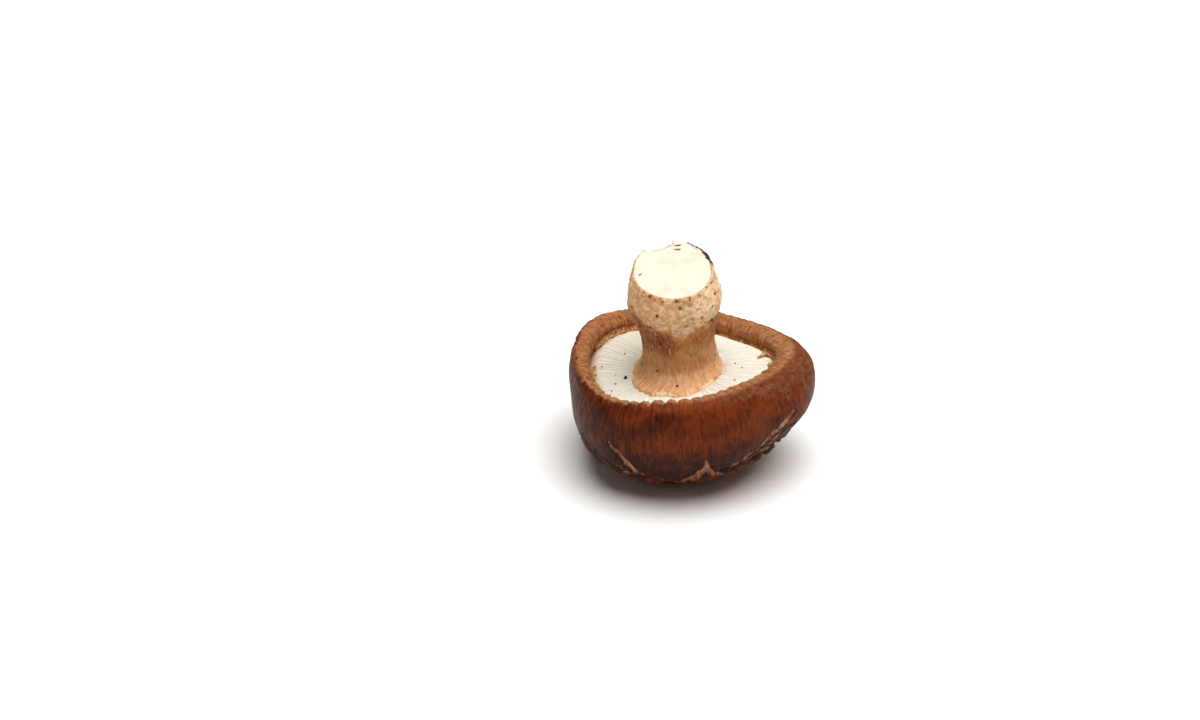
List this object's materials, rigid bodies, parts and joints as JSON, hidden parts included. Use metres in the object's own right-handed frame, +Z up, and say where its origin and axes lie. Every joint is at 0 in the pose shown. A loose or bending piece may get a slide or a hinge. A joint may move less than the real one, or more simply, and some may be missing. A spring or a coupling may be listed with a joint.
{
  "type": "shiitake mushroom",
  "caption": "Whole fresh shiitake mushroom resting on its domed cap, with rolled rim, cream gills and a stout stem with a cut end.",
  "frame": {"origin": "middle of the small flat on the crown of the cap that the mushroom rests on", "axes": "+Z up, away from the surface it rests on; the stem stands along +Z and leans a little to -X; -Y is the side that faces the viewer, and the cut end of the stem tips towards it"},
  "size_m": [0.0614, 0.0591, 0.0569],
  "materials": {
    "cap_skin": null,
    "gill_cream": null,
    "stem_tan": null
  },
  "bodies": {
    "root": {"cap": "cap_skin", "gills": "gill_cream", "stem": "stem_tan"}
  },
  "joints": []
}
